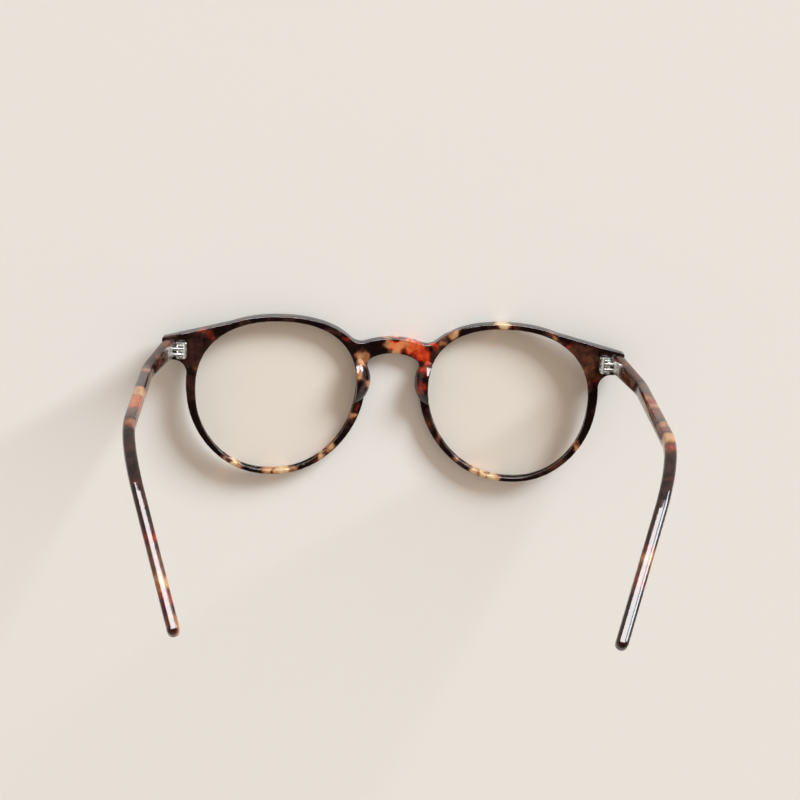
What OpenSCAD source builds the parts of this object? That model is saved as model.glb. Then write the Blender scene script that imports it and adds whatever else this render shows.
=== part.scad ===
// Panto glasses: an acetate front with a keyhole bridge, two lenses in grooves, cemented nose
// pads, five-barrel hinges and two temples with sunk core wires. Millimetres. The front lies
// with its outer face on Z = 0, the brow towards +Y, and the open temples rise along +Z. Heights
// are measured from the middle of the lens openings, and the whole part is then placed with the
// middle of the bridge on the origin.

/* [Front] */
// How far an endpiece reaches out beyond the side of its lens opening
end_out = 9.9; // [8:0.1:12]
// Thickness of the front
front_t = 4; // [3.4:0.1:5]
// Radius of the bow of the outer face
bow_r = 530; // [400:10:900]
// Depth of the flat polished on the middle of the bow
flat_depth = 0.4; // [0.2:0.05:0.6]
// Radius of the hollows under the endpieces
hollow_r = 4; // [2:0.25:6]

/* [Eyes] */
// Width of a lens opening at its middle height
eye_w = 48; // [44:0.5:52]
// Height of a lens opening
eye_h = 46.2; // [42:0.2:50]
// Distance between the two lens openings at their middle height
eye_gap = 23; // [20:0.1:26]
// How far the top of an opening leans towards the nose
eye_lean = 1; // [0:0.1:2]
// Width of the rim at the brow
rim_top = 1.7; // [1.4:0.1:3]
// Width of the rim at the cheek
rim_bottom = 1.4; // [1.2:0.1:3]
// Width of the rim beside the nose
rim_nasal = 3; // [2:0.1:4]
// Width of the rim beside the temple
rim_temporal = 2.4; // [1.8:0.1:4]

/* [Bridge] */
// Height of the bridge's top edge at the middle
bridge_top_y = 19; // [18:0.1:20]
// Radius of the crown of the bridge's top edge
bridge_crown_r = 26; // [20:1:40]
// Distance from the middle to the hollows beside the crown
bridge_hollow_x = 9.95; // [9.5:0.05:10.3]
// Radius of the hollows beside the crown
bridge_hollow_r = 4.6; // [4:0.1:5]
// Height of the top of the keyhole arch
arch_top_y = 14.3; // [12:0.1:15]
// Width of the keyhole arch
arch_w = 15.7; // [14:0.1:17]
// Radius of the arch over the nose
arch_r = 14.4; // [10:0.2:20]
// Radius of the two upper corners of the arch
arch_corner_r = 2.6; // [1:0.1:4]
// Height at which the sides of the arch run out on the rims
arch_foot_y = 5; // [2:0.5:8]

/* [Endpieces] */
// Height of the upper outer corner of an endpiece
end_top_y = 17.4; // [16.4:0.1:18]
// Height of the lower edge of an endpiece
end_bottom_y = 10.9; // [10:0.1:12]
// Radius of the outer corners of an endpiece
end_corner_r = 0.8; // [0.4:0.1:2]

/* [Lenses] */
// Thickness of a lens
lens_t = 1.8; // [1.4:0.1:2.4]
// Radius of the front surface of a lens
lens_r = 180; // [150:5:300]
// Depth of the groove that holds a lens
groove_depth = 0.6; // [0.4:0.05:0.8]
// Width of the groove at its mouth
groove_w = 1.5; // [1:0.1:1.8]
// Distance of the groove's middle from the outer face
groove_back = 2.2; // [1.8:0.1:2.6]
// Clearance of a lens in its groove
lens_gap = 0.05; // [0.02:0.01:0.1]

/* [Nose pads] */
// Length of a nose pad
pad_l = 15.5; // [12:0.5:18]
// Greatest radius of a nose pad
pad_r = 4.4; // [3.5:0.1:5]
// Distance of a pad's axis from the middle of the bridge
pad_x = 11.1; // [10.4:0.1:12]
// Height of the middle of a pad
pad_y = 5.2; // [3:0.1:8]
// Height of a pad's axis over the table face
pad_z = 3.2; // [2:0.1:4]
// Angle of a pad's axis from upright
pad_angle = 8; // [0:1:20]

/* [Hinges] */
// Distance of a hinge pin from the outer end of the front
pin_in = 5.9; // [5.6:0.1:6.6]
// Height of the middle of a hinge on the brow side
hinge_y = 14; // [13.6:0.1:14.2]
// Height of the stack of knuckles
hinge_h = 4.2; // [3.8:0.1:4.8]
// Radius of a knuckle
knuckle_r = 1.5; // [1.3:0.05:1.6]
// Gap between neighbouring knuckles
knuckle_gap = 0.08; // [0.05:0.01:0.12]
// Diameter of the hinge screw
screw_d = 1.3; // [1:0.1:1.4]
// Diameter of the screw head
screw_head_d = 2.5; // [2:0.1:2.6]
// Thickness of the screw head
screw_head_t = 0.45; // [0.3:0.05:0.6]
// Width of the slot in the screw head
screw_slot_w = 0.35; // [0.25:0.05:0.45]
// Clearance of the screw in the knuckles
screw_gap = 0.04; // [0.02:0.01:0.08]
// Thickness of the hinge leaves
leaf_t = 0.9; // [0.7:0.1:1.1]
// Length of a temple leaf along the temple
leaf_l = 7; // [5:0.5:9]
// Width of a temple leaf
leaf_w = 3.8; // [3.2:0.1:4]
// Gap between a temple's butt end and the endpiece
butt_gap = 0.2; // [0.1:0.05:0.3]

/* [Temples] */
// Thickness of a temple at the hinge
head_t = 3.6; // [3:0.1:3.8]
// Height of a temple at the hinge
head_h = 5.9; // [5.2:0.1:6.2]
// Thickness of a temple along the shank
shank_t = 3.3; // [3:0.1:4]
// Height of a temple along the shank
shank_h = 4.5; // [4:0.1:6]
// Length of the splayed head
head_l = 20.4; // [16:0.2:24]
// How far the head splays outwards
head_out = 4.2; // [2:0.1:4.6]
// How far the head drops
head_drop = 2.15; // [1:0.05:3]
// Length of the shank from the head to the ear bend
shank_l = 66; // [58:1:74]
// How far the shank runs back inwards
shank_in = 0.65; // [0:0.05:2]
// How far the shank drops
shank_drop = 1.45; // [0:0.05:7]
// Length of the ear part along the shank's direction
ear_l = 33; // [28:0.5:44]
// How far the ear part drops
ear_drop = 40.7; // [30:0.1:44]
// How far the ear part runs inwards
ear_in = 16.2; // [8:0.1:18]
// Length on which the head turns into the shank
kink_turn = 3.5; // [3:0.5:8]
// Length on which the shank turns into the ear part
ear_turn = 16; // [10:1:24]
// Diameter of the core wire
core_d = 1.2; // [1:0.1:1.4]
// Distance of the core wire's ends from the ends of the temple
core_end = 10; // [8:0.5:14]

/* [Hidden] */

// Colours
shell_brown = "#4a2415";
lens_clear = "#e4ecee";
steel = "#c9c9c4";

// How much wider an opening, and the rim around it, is at the brow than at its middle height
eye_brow_share = 0.121;
rim_brow_share = 0.165;
// Order of the rounded outline of an opening, where 2 is an ellipse
eye_order = 2.22;
// Number of sides of an opening's outline, and of a drawn arc
eye_steps = 96;
arc_steps = 12;
// Directions in which the brow line and the hollow beside the bridge leave the rim
brow_leave_angle = 62;
bridge_leave_angle = 135;
// Cutting overrun that keeps two faces from meeting
over = 1;
// Depth of the space around the front that the outlines are cut from
depth = 30;

// Middle of an eye, width over the endpieces and place of a hinge pin
eye_x = (eye_gap + eye_w) / 2;
front_w = 2 * (eye_gap / 2 + eye_w + end_out);
pin_x = front_w / 2 - pin_in;
// Outer outline of a rim, its middle and its size
rim_x = eye_x + (rim_temporal - rim_nasal) / 2;
rim_y = (rim_top - rim_bottom) / 2;
rim_w = eye_w + rim_nasal + rim_temporal;
rim_h = eye_h + rim_top + rim_bottom;
// Slope of the bow where an eye sits
face_angle = asin(eye_x / bow_r);
// Height of the outer face over the table at a distance from the middle
function bow_z(x) = bow_r - flat_depth - sqrt(bow_r * bow_r - x * x);
eye_z = bow_z(eye_x);
// Milled flat on the back of an endpiece, which carries the hinge and stops the temple
seat_z = bow_r - flat_depth - sqrt(pow(bow_r - front_t, 2) - pin_x * pin_x);
// Gap under a knuckle that turns over the seat
seat_gap = 0.15;
pin_z = seat_z + knuckle_r + seat_gap;
// Inner edge of the milled flat
seat_x = pin_x - knuckle_r - seat_gap;
// Number of knuckles in a hinge, and the space for one
knuckles = 5;
pitch = hinge_h / knuckles;
// Depth of a hinge's hidden anchors, and the clearance of the pockets that hold the leaves
anchor_depth = 1.5;
pocket_gap = 0.03;
// Lower face of the nose pads, part of the way through the front
pad_front_z = 1.2;
// Height of the butt end of a temple over the table
butt_z = seat_z + butt_gap;

// Stations of the right temple's middle line: butt end, kink, ear bend and tip
head_x = (front_w - head_t) / 2;
head_y = (end_top_y + end_bottom_y) / 2;
kink = [head_x + head_out, head_y - head_drop, butt_z + head_l];
bend = [kink.x - shank_in, kink.y - shank_drop, kink.z + shank_l];
tip = [bend.x - ear_in, bend.y - ear_drop, bend.z + ear_l];
butt = [head_x, head_y, butt_z];
// Rings in each rounded turn, rings in the rounded tip and points round a section
turn_steps = 12;
tip_steps = 6;
section_steps = 24;
// Order of the rounded section, where a high number has sharper edges
section_order = 3.6;
// Splay of a temple's inner face, which a temple leaf follows
splay_angle = atan((head_out - (shank_t - head_t) / 2) / head_l);

// Signed power, which bends a circle into a rounded rectangle
function bow_power(v, e) = sign(v) * pow(abs(v), e);

// Outline of the given size about its own middle, nose side at -X and wider at the brow
function panto(w, h, brow_share) = [for (i = [0 : eye_steps - 1])
    let (a = 360 * i / eye_steps, c = cos(a), s = sin(a))
    [w / 2 * bow_power(c, 2 / eye_order) * (1 + brow_share * s) - eye_lean * s,
     h / 2 * bow_power(s, 2 / eye_order)]];

// Outline of an opening, grown all round, and outline of the rim around it
function eye_outline(grow) = panto(eye_w + 2 * grow, eye_h + 2 * grow, eye_brow_share);
function rim_outline() = [for (p = panto(rim_w, rim_h, rim_brow_share)) [rim_x, rim_y] + p];

// Both halves of what is modelled on the right
module pair() {
    children();
    mirror([1, 0, 0]) children();
}

// Local frame of the right lens: middle of the eye, square to the bow
module at_eye() {
    translate([eye_x, 0, eye_z]) rotate([0, -face_angle, 0]) children();
}

// Double taper that a lens bevel and its groove share, about the middle of the groove
module bevel(gap) {
    grow = groove_depth - gap;
    narrow = [(eye_w - 2 * gap) / (eye_w + 2 * grow), (eye_h - 2 * gap) / (eye_h + 2 * grow)];
    for (side = [0, 1]) mirror([0, 0, side])
        linear_extrude(groove_w / 2, scale = narrow) polygon(eye_outline(grow));
}

// Points along an arc about c, from one angle to another
function arc(c, r, from, to) = [for (i = [0 : arc_steps])
    let (a = from + (to - from) * i / arc_steps) c + r * [cos(a), sin(a)]];

// Direction in which the rim's outline reaches a height on the temple side, and its distance there
function rim_angle(y) = asin(bow_power(2 * (y - rim_y) / rim_h, eye_order / 2));
function rim_reach(y) = rim_x - eye_lean * sin(rim_angle(y))
    + rim_w / 2 * bow_power(cos(rim_angle(y)), 2 / eye_order) * (1 + rim_brow_share * sin(rim_angle(y)));

// Points of the rim's outline between two directions
function rim_part(from, to) = let (rim = rim_outline())
    [for (k = [ceil(eye_steps * from / 360) : floor(eye_steps * to / 360)]) rim[k % eye_steps]];

// Direction from one point to another
function bearing(p, q) = atan2(q.y - p.y, q.x - p.x);

// Right half of the keyhole arch over the nose, from its top to the corner's foot
function arch_part() = let (
    arch = [0, arch_top_y - arch_r],
    corner = [arch_w / 2 - arch_corner_r,
              arch.y + sqrt(pow(arch_r - arch_corner_r, 2) - pow(arch_w / 2 - arch_corner_r, 2))])
    concat(arc(arch, arch_r, 90, bearing(arch, corner)),
        arc(corner, arch_corner_r, bearing(arch, corner), 0));

// Right endpiece: the hollow under it, its two corners and the end of the brow line
function end_part(leave) = let (
    hollow_y = end_bottom_y - hollow_r,
    corner = [front_w / 2 - end_corner_r, end_top_y - end_corner_r / 2])
    concat(arc([rim_reach(hollow_y) + hollow_r, hollow_y], hollow_r, 180, 90),
        arc([corner.x, end_bottom_y + end_corner_r], end_corner_r, -90, 0),
        arc(corner, end_corner_r, 0, 90 + bearing(leave, corner + [0, end_corner_r])));

// Right half of the bridge's top edge: the hollow beside the rim, then the crown
function crown_part() = let (
    crown = [0, bridge_top_y - bridge_crown_r],
    dip = [bridge_hollow_x,
           crown.y + sqrt(pow(bridge_crown_r + bridge_hollow_r, 2) - pow(bridge_hollow_x, 2))],
    rim_end = rim_part(0, bridge_leave_angle),
    leave = rim_end[len(rim_end) - 1])
    concat(arc(dip, bridge_hollow_r, bearing(dip, leave), bearing(dip, crown)),
        arc(crown, bridge_crown_r, bearing(crown, dip), 90));

// Outline of the front in one closed line, the right half and its mirror image
function front_outline() = let (
    half = concat(arch_part(),
        rim_part(180 - rim_angle(arch_foot_y), 360 + rim_angle(end_bottom_y - hollow_r)),
        end_part(rim_part(brow_leave_angle, 90)[0]),
        rim_part(brow_leave_angle, bridge_leave_angle),
        crown_part()))
    concat(half, [for (k = [len(half) - 2 : -1 : 1]) [-half[k].x, half[k].y]]);

// Solid between the outer and the inner bow, flat on the table side
module bow_shell() {
    intersection() {
        translate([0, 0, bow_r - flat_depth]) rotate([90, 0, 0]) difference() {
            cylinder(h = 2 * front_w, r = bow_r, center = true, $fn = 1440);
            cylinder(h = 2 * front_w + over, r = bow_r - front_t, center = true, $fn = 1440);
        }
        translate([-front_w, -front_w]) cube([2 * front_w, 2 * front_w, depth]);
    }
}

// Front before anything is cut into it, which the nose pads are seated on
module front_blank() {
    intersection() {
        linear_extrude(depth) polygon(front_outline());
        bow_shell();
    }
}

// Space that a right lens opening takes out of the front
module eye_space() {
    at_eye() translate([0, 0, -depth / 2]) linear_extrude(depth) polygon(eye_outline(0));
}

module front() {
    color(shell_brown) difference() {
        front_blank();
        pair() eye_space();
        pair() translate([seat_x, 0, seat_z]) cube([front_w, eye_h, depth]);
        pair() at_eye() translate([0, 0, groove_back]) bevel(0);
        pair() front_leaf_blank(pocket_gap);
    }
}

// Meniscus that fills an eye, with its bevel in the groove
module lens() {
    color(lens_clear, 0.35) at_eye() translate([0, 0, groove_back]) intersection() {
        union() {
            translate([0, 0, -depth / 4]) linear_extrude(depth / 2)
                polygon(eye_outline(-lens_gap));
            bevel(lens_gap);
        }
        lens_sag = lens_r - sqrt(lens_r * lens_r - eye_w * eye_w / 4);
        translate([0, 0, lens_r - lens_sag - lens_t / 2]) difference() {
            sphere(lens_r, $fn = 360);
            sphere(lens_r - lens_t, $fn = 360);
        }
    }
}

// Nose pad: a spindle cemented to the nasal side and back of the rim
module nose_pad() {
    arc_r = (pad_l * pad_l / 4 + pad_r * pad_r) / (2 * pad_r);
    color(shell_brown) difference() {
        intersection() {
            translate([pad_x, pad_y, pad_z]) rotate([0, 0, pad_angle]) rotate([90, 0, 0])
                rotate_extrude($fn = 96) intersection() {
                    translate([pad_r - arc_r, 0]) circle(arc_r, $fn = 180);
                    translate([0, -pad_l]) square([pad_l, 2 * pad_l]);
                }
            translate([0, -eye_h / 2, pad_front_z]) cube([eye_x, eye_h, depth]);
        }
        front_blank();
        eye_space();
    }
}

// One knuckle of a hinge, in slot k counted from the cheek side, about the pin
module knuckle(k) {
    translate([0, hinge_y - hinge_h / 2 + (k + 1) * pitch - knuckle_gap / 2, 0])
        rotate([90, 0, 0]) cylinder(h = pitch - knuckle_gap, r = knuckle_r, $fn = 48);
}

// Straight bar of one knuckle's height from the pin, along X and down to Z
module knuckle_bar(k, x0, x1, z0, z1) {
    translate([x0, hinge_y - hinge_h / 2 + k * pitch + knuckle_gap / 2, z0])
        cube([x1 - x0, pitch - knuckle_gap, z1 - z0]);
}

// Hole along the pin
module pin_bore(d) {
    translate([0, hinge_y + hinge_h, 0]) rotate([90, 0, 0]) cylinder(h = 2 * hinge_h, d = d, $fn = 48);
}

// Plate and sunk anchor of the front leaf, grown by a gap for the pocket
module front_leaf_blank(gap) {
    translate([pin_x - knuckle_r - gap, hinge_y - hinge_h / 2 - gap, seat_z - leaf_t - gap])
        cube([2 * knuckle_r + 2 * gap, hinge_h + 2 * gap, leaf_t + gap]);
    translate([pin_x - knuckle_r / 2 - gap, hinge_y - hinge_h / 4 - gap, seat_z - leaf_t - anchor_depth - gap])
        cube([knuckle_r + 2 * gap, hinge_h / 2 + 2 * gap, anchor_depth + over]);
}

// Front leaf: three knuckles on webs over a plate that is sunk in the endpiece
module front_hinge() {
    color(steel) difference() {
        union() {
            intersection() {
                front_leaf_blank(0);
                translate([0, 0, -depth + seat_z]) cube([front_w, front_w, depth]);
            }
            translate([pin_x, 0, pin_z]) for (k = [0 : 2 : knuckles - 1]) {
                knuckle(k);
                knuckle_bar(k, -knuckle_r, knuckle_r, seat_z - leaf_t / 2 - pin_z, 0);
            }
        }
        translate([pin_x, 0, pin_z]) pin_bore(screw_d + 2 * screw_gap);
    }
}

// Plate of the temple leaf, half sunk in the splayed inner face of the temple
module temple_leaf_blank(gap) {
    translate([head_x - head_t / 2, 0, butt_z]) rotate([0, splay_angle, 0])
        translate([-leaf_t / 2 - gap, hinge_y - leaf_w / 2 - gap, 0])
            cube([leaf_t + 2 * gap, leaf_w + 2 * gap, leaf_l + gap]);
}

// Temple leaf: two knuckles on arms that reach in from the plate
module temple_hinge() {
    reach = head_x - head_t / 2 - pin_x + leaf_t / 4;
    color(steel) difference() {
        union() {
            intersection() {
                temple_leaf_blank(0);
                translate([0, 0, butt_z]) cube([front_w, front_w, depth]);
            }
            translate([pin_x, 0, pin_z]) for (k = [1 : 2 : knuckles - 1]) {
                knuckle(k);
                knuckle_bar(k, 0, reach, -knuckle_r / 2, knuckle_r);
            }
        }
        translate([pin_x, 0, pin_z]) pin_bore(screw_d + 2 * screw_gap);
    }
}

// Hinge screw with a slotted head on the brow side
module hinge_screw() {
    top = hinge_y + hinge_h / 2;
    color(steel) translate([pin_x, top, pin_z]) difference() {
        union() {
            rotate([90, 0, 0]) cylinder(h = hinge_h, d = screw_d, $fn = 48);
            rotate([-90, 0, 0]) cylinder(h = screw_head_t, d = screw_head_d, $fn = 48);
        }
        translate([-screw_head_d, screw_head_t / 2, -screw_slot_w / 2])
            cube([2 * screw_head_d, screw_head_t, screw_slot_w]);
    }
}

// Points of a rounded turn at q between p and r, which starts and ends a cut away from q
function turn(p, q, r, cut) = let (
    a = q + (p - q) / norm(p - q) * cut, b = q + (r - q) / norm(r - q) * cut)
    [for (i = [0 : turn_steps]) let (t = i / turn_steps)
        (1 - t) * (1 - t) * a + 2 * t * (1 - t) * q + t * t * b];

// Middle line of the right temple from one end to the other
function temple_line(start, end) = concat(
    [start], turn(start, kink, bend, kink_turn), turn(kink, bend, end, ear_turn), [end]);

// Point on a straight line, a distance from its first end
function along(p, q, d) = p + (q - p) / norm(q - p) * d;

function unit(v) = v / norm(v);

// Direction of a line at one of its points
function heading(line, i) = unit(
    line[min(i + 1, len(line) - 1)] - line[max(i - 1, 0)]);

// Ring of a rounded section across a line: t across the temple, h along its height
function ring(line, i, t, h, order, steps) = let (
    d = heading(line, i), side = unit([1, 0, 0] - d.x * d), up = cross(d, side))
    [for (k = [0 : steps - 1]) let (a = 360 * k / steps)
        line[i] + side * t / 2 * bow_power(cos(a), 2 / order)
                + up * h / 2 * bow_power(sin(a), 2 / order)];

// Closed skin over rings of equal length
module skin(rings) {
    n = len(rings[0]);
    last = len(rings) - 1;
    polyhedron(
        points = [for (r = rings) each r],
        faces = concat(
            [[for (k = [0 : n - 1]) k]],
            [for (i = [0 : last - 1], k = [0 : n - 1])
                [i * n + k, (i + 1) * n + k, (i + 1) * n + (k + 1) % n, i * n + (k + 1) % n]],
            [[for (k = [n - 1 : -1 : 0]) last * n + k]]));
}

// Right temple's acetate body before the pockets
module temple_body() {
    tip_r = shank_t / 2;
    line_in = temple_line(butt - [0, 0, over], along(tip, bend, tip_r));
    tip_turn = [for (i = [1 : tip_steps]) along(tip, bend, tip_r * (1 - sin(90 * i / (tip_steps + 1))))];
    line = concat(line_in, tip_turn);
    last_full = len(line_in) - 1;
    skin([for (i = [0 : len(line) - 1]) let (
        grown = min(1, (line[i].z - butt_z) / head_l),
        round_off = i > last_full ? cos(90 * (i - last_full) / (tip_steps + 1)) : 1)
        ring(line, i, (head_t + (shank_t - head_t) * grown) * round_off,
             (head_h + (shank_h - head_h) * grown) - shank_t * (1 - round_off),
             section_order, section_steps)]);
}

module core_wire_body() {
    line = temple_line(along(butt, kink, core_end), along(tip, bend, core_end));
    skin([for (i = [0 : len(line) - 1]) ring(line, i, core_d, core_d, 2, section_steps / 2)]);
}

module temple() {
    color(shell_brown) difference() {
        temple_body();
        translate([0, 0, butt_z - depth]) cube([front_w, front_w, depth]);
        temple_leaf_blank(pocket_gap);
        core_wire_body();
    }
}

module core_wire() {
    color(steel) core_wire_body();
}

// Places a piece with the middle of the bridge on the origin, and its mirror image on the left
module right() {
    translate([0, -(bridge_top_y + arch_top_y) / 2, 0]) children();
}

module left() {
    mirror([1, 0, 0]) right() children();
}

right() front();
left() lens();  // lens_left
right() lens();  // lens_right
left() nose_pad();  // nose_pad_left
right() nose_pad();  // nose_pad_right
left() front_hinge();  // front_hinge_left
right() front_hinge();  // front_hinge_right
left() hinge_screw();  // hinge_screw_left
right() hinge_screw();  // hinge_screw_right
left() temple();  // temple_left
right() temple();  // temple_right
left() core_wire();  // core_wire_left
right() core_wire();  // core_wire_right
left() temple_hinge();  // temple_hinge_left
right() temple_hinge();  // temple_hinge_right
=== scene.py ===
import math

import bpy
from mathutils import Matrix, Vector


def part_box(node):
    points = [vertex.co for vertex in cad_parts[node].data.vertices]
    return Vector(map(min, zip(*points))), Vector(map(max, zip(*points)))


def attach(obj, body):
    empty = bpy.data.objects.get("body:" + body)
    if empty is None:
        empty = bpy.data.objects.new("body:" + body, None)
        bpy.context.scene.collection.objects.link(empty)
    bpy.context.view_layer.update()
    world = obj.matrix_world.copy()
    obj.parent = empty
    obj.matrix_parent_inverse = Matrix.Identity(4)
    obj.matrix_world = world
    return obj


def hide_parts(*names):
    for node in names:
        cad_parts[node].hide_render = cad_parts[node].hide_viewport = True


# Round glasses in tortoiseshell acetate. They stand on the outer face of the front, with both
# temples up. Everything is in metres in the frame of the model; tables of places are in
# millimetres.

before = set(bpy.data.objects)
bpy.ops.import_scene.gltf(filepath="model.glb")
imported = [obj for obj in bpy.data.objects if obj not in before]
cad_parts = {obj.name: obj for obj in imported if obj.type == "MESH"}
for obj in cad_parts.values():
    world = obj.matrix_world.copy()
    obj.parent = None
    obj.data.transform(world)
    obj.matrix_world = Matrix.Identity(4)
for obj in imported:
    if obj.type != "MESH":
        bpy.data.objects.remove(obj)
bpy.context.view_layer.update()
MM = 0.001

# Camera: turns from the table's axes to the camera's, and its place over the middle of the bridge
TILT, YAW, ROLL = 14.383, 2.172, -1.991
EYE = Vector((-20.07, 131.41, 581.11)) * MM
FOCAL_LENGTH = 88.46

# Softboxes: bearing from +X and height over the table in degrees, width and height in metres, power,
# colour, and whether it lights matt surfaces. The second one only gives the white reflections on the
# ear parts and along the edges
SOFTBOXES = [("softbox", 48, 25, 10.0, 6.8, 5800, (0.80, 0.915, 1.0), True),
             ("tall_box", 88, 43, 10.8, 12.0, 9200, (1.0, 0.95, 0.95), False)]
BOX_DISTANCE = 20.0

# World: the fill on matt surfaces, and what the eye and gloss see around and over the table
FILL = (0.56, 0.48, 0.415, 1)
PAPER, CEILING = "#e7e1da", "#2c2523"
FLOOR_SIDE = 12.0

# Mesh of a finished piece: size of its cells, and passes that wear its edges round
FRONT_MESH = (0.25 * MM, 7)
TEMPLE_MESH = (0.25 * MM, 4)
PAD_MESH = (0.15 * MM, 6)
LENS_MESH = (0.3 * MM, 12)
# How much a lens is pressed out into its groove
LENS_SNAP = 1.01
# Width of the broken edges of the metal
HINGE_EDGE, SCREW_EDGE = 0.14 * MM, 0.06 * MM

# Amber chips in the sheet that the front is cut from: x, y, size, and tone from 0, black, over
# brown and tan to 1, cream
FRONT_CHIPS = [
    (-57.0, -3.0, 7.0, 0.30), (-58.5, -6.8, 3.0, 0.40), (-60.0, -14.0, 5.0, 0.30),
    (56.0, -2.0, 6.5, 0.40), (-18.8, 5.7, 1.4, 0.40),
    (-9.3, -4.2, 2.8, 0.66), (-7.6, -12.0, 2.0, 0.56), (-10.2, -8.4, 2.3, 0.66),
    (-11.9, -22.3, 1.9, 0.66), (-18.6, -31.6, 2.0, 0.70), (-21.5, -34.1, 1.9, 0.86),
    (-29.8, -39.2, 1.6, 0.60), (-32.6, -39.6, 2.2, 0.84), (-36.5, -39.8, 2.4, 0.70),
    (-47.0, -38.4, 2.0, 0.92), (-49.5, -36.6, 1.2, 0.58), (-1.9, 1.1, 2.2, 0.64),
    (0.3, -2.0, 2.2, 0.76), (2.2, 0.4, 2.6, 0.70), (15.1, 1.3, 1.6, 0.62),
    (17.2, 4.4, 1.9, 0.76), (32.3, 8.0, 2.9, 0.93), (48.8, 4.5, 1.6, 0.60),
    (55.9, 1.1, 2.6, 0.40), (59.3, -3.4, 2.4, 0.52), (58.6, -9.4, 2.2, 0.42),
    (57.1, -29.1, 1.6, 0.76), (32.3, -39.7, 2.4, 0.93), (28.8, -38.7, 2.0, 0.88),
    (25.8, -37.6, 1.8, 0.85), (21.0, -34.6, 1.4, 0.60), (14.8, -28.6, 1.6, 0.52),
]
# Red chips in the same sheet
FRONT_REDS = [
    (-55.2, 2.3, 1.8, 0.40), (-57.6, 3.8, 1.6, 0.42), (-14.0, 1.8, 1.1, 0.52),
    (-10.6, -19.3, 1.1, 0.50), (-22.7, -36.0, 1.1, 0.52), (1.2, 0.4, 2.8, 0.80),
    (4.6, 0.9, 2.6, 0.70),
    (7.4, -0.6, 2.6, 0.60), (9.1, -3.6, 2.4, 0.58), (9.4, -7.0, 1.8, 0.54),
    (12.6, 0.4, 1.8, 0.56), (36.1, 7.6, 0.9, 0.54), (51.8, 2.6, 1.5, 0.44),
    (60.3, -8.4, 1.6, 0.44), (8.2, -12.0, 2.2, 0.48), (11.6, -24.0, 1.4, 0.40),
]
# The same for the temples: y, z, size and tone. A red chip on an amber one gives coral
LEFT_CHIPS = [
    (-3.5, 10.0, 7.0, 0.44), (-4.8, 34.3, 2.8, 0.56), (-5.2, 43.0, 3.0, 0.46),
    (-5.2, 55.2, 5.6, 0.70), (-5.4, 66.0, 8.0, 0.59), (-5.9, 84.5, 3.4, 0.54),
    (-37.6, 119.6, 2.6, 0.76), (-41.6, 122.8, 2.2, 0.62), (-45.4, 126.0, 1.8, 0.86),
]
LEFT_REDS = [
    (-5.4, 66.0, 8.0, 0.57), (-5.9, 84.5, 3.4, 0.41), (-17.8, 103.5, 2.2, 0.44),
    (-28.4, 112.0, 2.4, 0.50), (-41.6, 122.8, 2.2, 0.62),
]
RIGHT_CHIPS = [
    (-3.8, 17.0, 12.0, 0.45), (-5.0, 44.8, 3.6, 0.57), (-5.2, 54.0, 3.6, 0.62),
    (-5.4, 62.0, 5.0, 0.48), (-5.6, 70.5, 3.8, 0.60), (-5.8, 76.0, 3.0, 0.48),
    (-5.9, 82.4, 4.0, 0.74), (-6.0, 88.0, 2.6, 0.5), (-29.8, 113.2, 3.0, 0.62),
]
RIGHT_REDS = [
    (-5.2, 50.0, 12.0, 0.42), (-5.7, 76.0, 3.0, 0.46), (-6.0, 88.0, 2.6, 0.46),
    (-12.3, 99.0, 1.2, 0.48), (-27.0, 110.8, 1.8, 0.50), (-33.6, 116.4, 1.8, 0.50),
]
# Colours of an amber and of a red chip by tone
AMBER = [(0.0, "#0b0706"), (0.22, "#190d0a"), (0.36, "#38201a"), (0.48, "#5f3727"),
         (0.6, "#95603f"), (0.72, "#b98a5f"), (0.84, "#cba97c"), (0.97, "#d6bd92")]
RED = [(0.0, "#0b0706"), (0.22, "#1f0b09"), (0.36, "#4d1712"), (0.48, "#8f2414"),
       (0.6, "#c63e1c"), (0.72, "#d8703e"), (0.84, "#d9945f"), (0.97, "#d6bd92")]


def colour(code):
    """An sRGB hex colour as linear light."""
    parts = [int(code[k:k + 2], 16) / 255 for k in (1, 3, 5)]
    return [p / 12.92 if p <= 0.04045 else ((p + 0.055) / 1.055) ** 2.4 for p in parts] + [1]


def add(tree, kind, settings, sockets):
    """Adds a shader node. A socket takes a value, or a link from another node's output."""
    node = tree.nodes.new("ShaderNode" + kind)
    for name, value in settings.items():
        setattr(node, name, value)
    for name, value in sockets.items():
        if isinstance(value, bpy.types.NodeSocket):
            tree.links.new(value, node.inputs[name])
        else:
            node.inputs[name].default_value = value
    return node


def blank_material(name):
    """A material with nothing in it but its output."""
    material = bpy.data.materials.new(name)
    material.use_nodes = True
    tree = material.node_tree
    tree.nodes.clear()
    return material, tree, add(tree, "OutputMaterial", {}, {})


def place_in_mm(tree):
    """Where a point of the surface is, in millimetres."""
    where = add(tree, "TexCoord", {}, {}).outputs["Object"]
    return add(tree, "VectorMath", {"operation": "SCALE"}, {0: where, "Scale": 1 / MM}).outputs[0]


def chip_tone(tree, bent, run_through, chips, ground, blend):
    """Tone of the sheet where chips lie in a darker ground and blend into it over some millimetres."""
    tone = ground
    for *spot, size, light in chips:
        spot = (0, *spot) if run_through[2] else (*spot, 0)
        centre = [a * b for a, b in zip(spot, run_through)]
        away = add(tree, "VectorMath", {"operation": "DISTANCE"}, {0: bent, 1: centre})
        chip = add(tree, "MapRange", {"interpolation_type": "SMOOTHSTEP"},
                   {"Value": away.outputs["Value"], "From Min": size + blend / 2,
                    "From Max": size - blend / 2, "To Max": light})
        tone = add(tree, "Math", {"operation": "SMOOTH_MAX"},
                   {0: tone, 1: chip.outputs[0], 2: 0.2}).outputs[0]
    return tone


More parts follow.
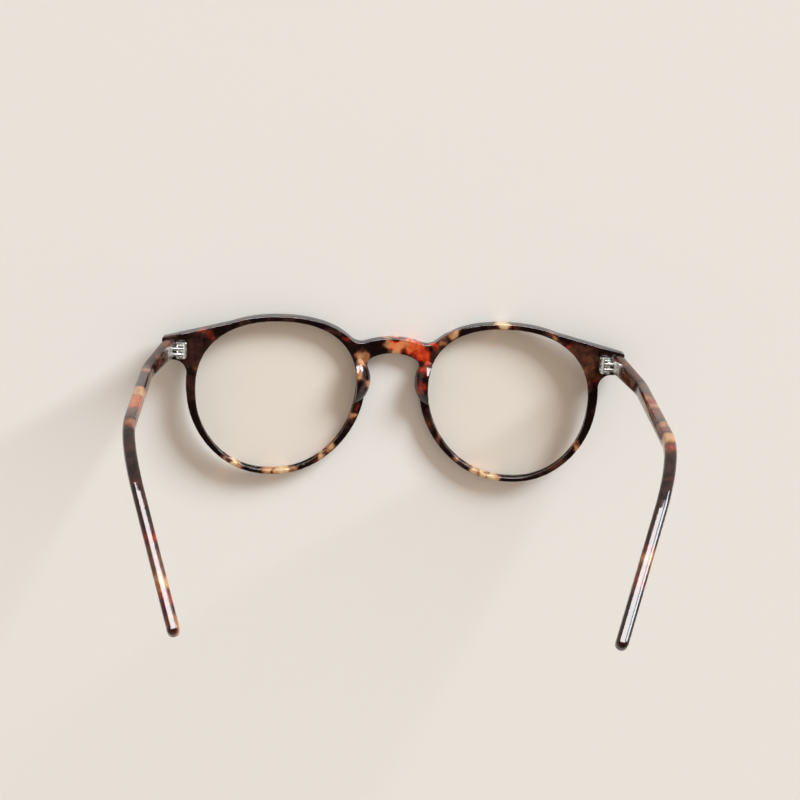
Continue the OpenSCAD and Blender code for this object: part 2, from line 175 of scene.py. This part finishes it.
def tint_of(tree, tone, steps):
    """Colour of a chip by its tone."""
    tint = add(tree, "ValToRGB", {}, {"Fac": tone})
    ramp = tint.color_ramp
    while len(ramp.elements) < len(steps):
        ramp.elements.new(0.5)
    for stop, (at, code) in zip(ramp.elements, steps):
        stop.position = at
        stop.color = colour(code)
    return tint.outputs["Color"]


def tortoiseshell(name, run_through, chips, reds, clouds_and_painted_light, blend, drawn):
    """Cellulose acetate, pressed from chips, cut from the sheet, tumbled and polished: black with
    amber and red chips that go right through the sheet, and a deep wet gloss. Some light goes
    through the light chips and tints their shadows. The swirls may be drawn out along the piece."""
    material, tree, output = blank_material(name)
    place = place_in_mm(tree)
    flat = add(tree, "VectorMath", {"operation": "MULTIPLY"}, {0: place, 1: run_through}).outputs[0]
    drawn = add(tree, "VectorMath", {"operation": "MULTIPLY"}, {0: place, 1: drawn}).outputs[0]
    # chips run into each other over 1 to 3 mm, in swirls 4 mm across
    swirl = add(tree, "TexNoise", {}, {"Vector": drawn, "Scale": 0.24, "Detail": 2.5, "Roughness": 0.5})
    push = add(tree, "VectorMath", {"operation": "SUBTRACT"}, {0: swirl.outputs["Color"], 1: (0.5,) * 3})
    push = add(tree, "VectorMath", {"operation": "SCALE"}, {0: push.outputs[0], "Scale": 7.0})
    push = add(tree, "VectorMath", {"operation": "MULTIPLY"}, {0: push.outputs[0], 1: run_through})
    bent = add(tree, "VectorMath", {"operation": "ADD"}, {0: flat, 1: push.outputs[0]}).outputs[0]
    # brown clouds about 9 mm across in the black, between two tones, which on the temples are lighter to
    # paint the light on their brow faces
    cloud = add(tree, "TexNoise", {}, {"Vector": flat, "Scale": 0.11, "Detail": 1.5, "Roughness": 0.5})
    ground = add(tree, "MapRange", {"interpolation_type": "SMOOTHSTEP"},
                 {"Value": cloud.outputs["Fac"], "From Min": 0.42, "From Max": 0.68, "To Min": clouds_and_painted_light[0],
                  "To Max": clouds_and_painted_light[1]})
    red = chip_tone(tree, bent, run_through, reds, 0.0, blend)
    tone = chip_tone(tree, bent, run_through, chips, ground.outputs[0], blend)
    share = add(tree, "Math", {"operation": "SUBTRACT"}, {0: red, 1: tone})
    share = add(tree, "MapRange", {}, {"Value": share.outputs[0], "From Min": -0.15, "From Max": 0.15})
    tone = add(tree, "Math", {"operation": "SMOOTH_MAX"}, {0: tone, 1: red, 2: 0.12}).outputs[0]
    # swirls inside the chips, about 2 mm across
    grain = add(tree, "TexNoise", {}, {"Vector": drawn, "Scale": 0.45, "Detail": 1.0, "Roughness": 0.5})
    shift = add(tree, "MapRange", {}, {"Value": grain.outputs["Fac"], "From Min": 0.3, "From Max": 0.7,
                                       "To Min": -0.08, "To Max": 0.08})
    tone = add(tree, "Math", {"operation": "ADD"}, {0: tone, 1: shift.outputs[0]}).outputs[0]
    tint = add(tree, "MixRGB", {}, {"Fac": share.outputs[0], "Color1": tint_of(tree, tone, AMBER),
                                    "Color2": tint_of(tree, tone, RED)}).outputs[0]
    # faint haze that the drum leaves, and a ripple some 4 mm long that bends the reflections
    haze = add(tree, "TexNoise", {}, {"Vector": place, "Scale": 0.5, "Detail": 5.0, "Roughness": 0.65})
    rough = add(tree, "MapRange", {}, {"Value": haze.outputs["Fac"], "From Min": 0.3, "From Max": 0.7,
                                       "To Min": 0.05, "To Max": 0.12})
    ripple = add(tree, "TexNoise", {}, {"Vector": place, "Scale": 0.24, "Detail": 1.0})
    bump = add(tree, "Bump", {}, {"Height": ripple.outputs["Fac"], "Strength": 0.2, "Distance": 0.00008})
    shell = add(tree, "BsdfPrincipled", {}, {
        "Base Color": tint, "Roughness": rough.outputs[0], "Normal": bump.outputs[0], "IOR": 1.46,
        "Subsurface Weight": 0.18, "Subsurface Radius": (1.0, 0.4, 0.15), "Subsurface Scale": 0.0015})
    let_through = add(tree, "BsdfTransparent", {}, {"Color": tint})
    clear = add(tree, "MapRange", {}, {"Value": tone, "From Min": 0.4, "From Max": 0.9, "To Max": 0.75})
    path = add(tree, "LightPath", {}, {})
    clear = add(tree, "Math", {"operation": "MULTIPLY"}, {0: clear.outputs[0],
                                                          1: path.outputs["Is Shadow Ray"]})
    both = add(tree, "MixShader", {}, {0: clear.outputs[0], 1: shell.outputs[0], 2: let_through.outputs[0]})
    tree.links.new(both.outputs[0], output.inputs["Surface"])
    return material


def clear_lens():
    """Allyl resin, cast, polished and coated against glare: hardly any colour, and an index at which
    it reflects half a per cent. Lamps and the light from the floor go through it."""
    material, tree, output = blank_material("cast_lens_resin")
    glass = add(tree, "BsdfPrincipled", {}, {"Base Color": colour("#fdfaf7"), "Roughness": 0.0,
                                             "IOR": 1.15, "Transmission Weight": 1.0})
    open_way = add(tree, "BsdfTransparent", {}, {"Color": colour("#fefdfb")})
    path = add(tree, "LightPath", {}, {})
    unseen = add(tree, "Math", {"operation": "MAXIMUM"}, {0: path.outputs["Is Shadow Ray"],
                                                          1: path.outputs["Is Diffuse Ray"]})
    both = add(tree, "MixShader", {}, {0: unseen.outputs[0], 1: glass.outputs[0], 2: open_way.outputs[0]})
    tree.links.new(both.outputs[0], output.inputs["Surface"])
    return material


def nickel_silver():
    """Nickel silver, milled and barrel-finished: bright grey with fine lines along the cut."""
    material, tree, output = blank_material("barrel_finished_nickel_silver")
    place = place_in_mm(tree)
    stretched = add(tree, "VectorMath", {"operation": "MULTIPLY"}, {0: place, 1: (9.0, 1.2, 9.0)})
    lines = add(tree, "TexNoise", {}, {"Vector": stretched.outputs[0], "Scale": 1.0, "Detail": 4.0})
    tint = add(tree, "MixRGB", {}, {"Fac": lines.outputs["Fac"], "Color1": colour("#dadad6"),
                                    "Color2": colour("#f5f5f1")})
    rough = add(tree, "MapRange", {}, {"Value": lines.outputs["Fac"], "From Min": 0.3, "From Max": 0.7,
                                       "To Min": 0.22, "To Max": 0.36})
    bump = add(tree, "Bump", {}, {"Height": lines.outputs["Fac"], "Strength": 0.2, "Distance": 0.00001})
    metal = add(tree, "BsdfPrincipled", {}, {"Base Color": tint.outputs[0], "Metallic": 1.0,
                                             "Roughness": rough.outputs[0], "Normal": bump.outputs[0]})
    tree.links.new(metal.outputs[0], output.inputs["Surface"])
    return material


def pick(piece):
    """Selects one piece alone."""
    bpy.ops.object.select_all(action="DESELECT")
    piece.select_set(True)
    bpy.context.view_layer.objects.active = piece


def finish_with(kind, **settings):
    """Adds a modifier to the picked piece and applies it."""
    bpy.ops.object.modifier_add(type=kind)
    modifier = bpy.context.object.modifiers[-1]
    for name, value in settings.items():
        setattr(modifier, name, value)
    bpy.ops.object.modifier_apply(modifier=modifier.name)


def blank_of(node, name):
    """The shape of a CAD node as a piece of its own, with its loose triangles joined up."""
    piece = bpy.data.objects.new(name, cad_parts[node].data.copy())
    bpy.context.scene.collection.objects.link(piece)
    piece.data.materials.clear()
    pick(piece)
    bpy.ops.object.mode_set(mode="EDIT")
    bpy.ops.mesh.select_all(action="SELECT")
    bpy.ops.mesh.remove_doubles(threshold=0.000001)
    bpy.ops.mesh.normals_make_consistent(inside=False)
    bpy.ops.object.mode_set(mode="OBJECT")
    return piece


def evened(node, name, cell, passes):
    """A piece with an even mesh on its node's surface, and its edges worn round by some passes."""
    piece = blank_of(node, name)
    finish_with("REMESH", mode="VOXEL", voxel_size=cell)
    finish_with("SHRINKWRAP", target=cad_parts[node])
    finish_with("SMOOTH", factor=0.5, iterations=passes)
    bpy.ops.object.shade_smooth()
    return piece


def milled(node, name, edge):
    """A piece of metal with its edges broken."""
    piece = blank_of(node, name)
    bpy.ops.object.mode_set(mode="EDIT")
    bpy.ops.mesh.select_all(action="SELECT")
    bpy.ops.mesh.dissolve_limited(angle_limit=math.radians(1))
    bpy.ops.object.mode_set(mode="OBJECT")
    finish_with("BEVEL", width=edge, segments=3, limit_method="ANGLE", angle_limit=math.radians(40))
    bpy.ops.object.shade_smooth_by_angle(angle=math.radians(30))
    return piece


def snapped_lens(node, name):
    """A lens that is pressed out into its groove all round."""
    lens = evened(node, name, *LENS_MESH)
    low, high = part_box(node)
    bpy.ops.object.mode_set(mode="EDIT")
    bpy.ops.mesh.select_all(action="SELECT")
    bpy.ops.transform.resize(value=(LENS_SNAP, LENS_SNAP, 1), center_override=(low + high) / 2)
    bpy.ops.object.mode_set(mode="OBJECT")
    return lens


def fit(piece, material, node, body):
    """Dresses a piece, puts it in its node's place and lets it move with its body."""
    piece.data.materials.append(material)
    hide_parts(node)
    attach(piece, body)


# Camera
turn = (Matrix.Rotation(math.radians(ROLL), 3, "Z") @ Matrix.Rotation(math.radians(YAW), 3, "Y")
        @ Matrix.Rotation(math.radians(TILT), 3, "X"))
camera = bpy.data.objects.new("camera", bpy.data.cameras.new("camera"))
camera.data.lens = FOCAL_LENGTH
camera.data.clip_start = 0.05
camera.matrix_world = Matrix.Translation(EYE) @ turn.transposed().to_4x4()
bpy.context.scene.collection.objects.link(camera)
bpy.context.scene.camera = camera

# Acetate
front_shell = tortoiseshell("tumbled_acetate_front", (1, 1, 0), FRONT_CHIPS, FRONT_REDS, (0, 0.4),
                            2.6, (1, 1, 1))
fit(evened("front", "front_acetate", *FRONT_MESH), front_shell, "front", "front")
for side, chips, reds in (("left", LEFT_CHIPS, LEFT_REDS), ("right", RIGHT_CHIPS, RIGHT_REDS)):
    body = f"temple_{side}"
    # The temples' brown clouds are lighter than the front's. This is partly the acetate's own brown and
    # partly painted light, standing in for the light that falls on their brow faces
    temple_shell = tortoiseshell(f"tumbled_acetate_temple_{side}", (0, 0.45, 1), chips, reds,
                                 (0.26, 0.44), 5, (1, 1, 0.35))
    fit(evened(body, f"{body}_acetate", *TEMPLE_MESH), temple_shell, body, body)
    pad = f"nose_pad_{side}"
    fit(evened(pad, f"{pad}_acetate", *PAD_MESH), front_shell, pad, "front")

# Lenses, hinges, screws and core wires
resin = clear_lens()
metal = nickel_silver()
for side in ("left", "right"):
    fit(snapped_lens(f"lens_{side}", f"lens_{side}_cast"), resin, f"lens_{side}", "front")
    fit(milled(f"front_hinge_{side}", f"front_hinge_{side}_milled", HINGE_EDGE), metal,
        f"front_hinge_{side}", "front")
    fit(milled(f"hinge_screw_{side}", f"hinge_screw_{side}_turned", SCREW_EDGE), metal,
        f"hinge_screw_{side}", "front")
    fit(milled(f"temple_hinge_{side}", f"temple_hinge_{side}_milled", HINGE_EDGE), metal,
        f"temple_hinge_{side}", f"temple_{side}")
    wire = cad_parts[f"core_wire_{side}"]
    wire.data.materials.clear()
    wire.data.materials.append(metal)

# Floor: matt paper that runs out of sight
bpy.ops.mesh.primitive_plane_add(size=FLOOR_SIDE)
floor = bpy.context.object
floor.name = "floor"
paper, tree, output = blank_material("matt_paper")
sheet = add(tree, "BsdfDiffuse", {}, {"Color": colour(PAPER)})
tree.links.new(sheet.outputs[0], output.inputs["Surface"])
floor.data.materials.append(paper)

# Softboxes on the brow side
for name, bearing, height, wide, high, power, light, lights_matt in SOFTBOXES:
    level = math.cos(math.radians(height))
    towards = Vector((math.cos(math.radians(bearing)) * level, math.sin(math.radians(bearing)) * level,
                      math.sin(math.radians(height))))
    box = bpy.data.objects.new(name, bpy.data.lights.new(name, "AREA"))
    box.data.shape = "RECTANGLE"
    box.data.size, box.data.size_y = wide, high
    box.data.energy = power
    box.data.color = light
    box.visible_diffuse = lights_matt
    box.location = towards * BOX_DISTANCE
    box.rotation_euler = towards.to_track_quat("Z", "Y").to_euler()
    bpy.context.scene.collection.objects.link(box)

# World: a warm fill. The eye, gloss and the lenses see pale walls under a dark ceiling instead
world = bpy.data.worlds.new("pale_room")
world.use_nodes = True
bpy.context.scene.world = world
tree = world.node_tree
tree.nodes.clear()
path = add(tree, "LightPath", {}, {})
seen = add(tree, "Math", {"operation": "MAXIMUM"}, {0: path.outputs["Is Camera Ray"],
                                                    1: path.outputs["Is Glossy Ray"]})
seen = add(tree, "Math", {"operation": "MAXIMUM"}, {0: seen.outputs[0],
                                                    1: path.outputs["Is Transmission Ray"]})
fill = add(tree, "Background", {}, {"Color": FILL, "Strength": 1.0})
where = add(tree, "TexCoord", {}, {}).outputs["Generated"]
height = add(tree, "SeparateXYZ", {}, {0: where}).outputs["Z"]
up = add(tree, "MapRange", {"interpolation_type": "SMOOTHSTEP"},
         {"Value": height, "From Min": 0.3, "From Max": 0.75})
room = add(tree, "MixRGB", {}, {"Fac": up.outputs[0], "Color1": colour(PAPER),
                                "Color2": colour(CEILING)})
wall = add(tree, "Background", {}, {"Color": room.outputs[0], "Strength": 1.0})
both = add(tree, "MixShader", {}, {0: seen.outputs[0], 1: fill.outputs[0], 2: wall.outputs[0]})
add(tree, "OutputWorld", {}, {"Surface": both.outputs[0]})

bpy.context.scene.view_settings.view_transform = "Standard"
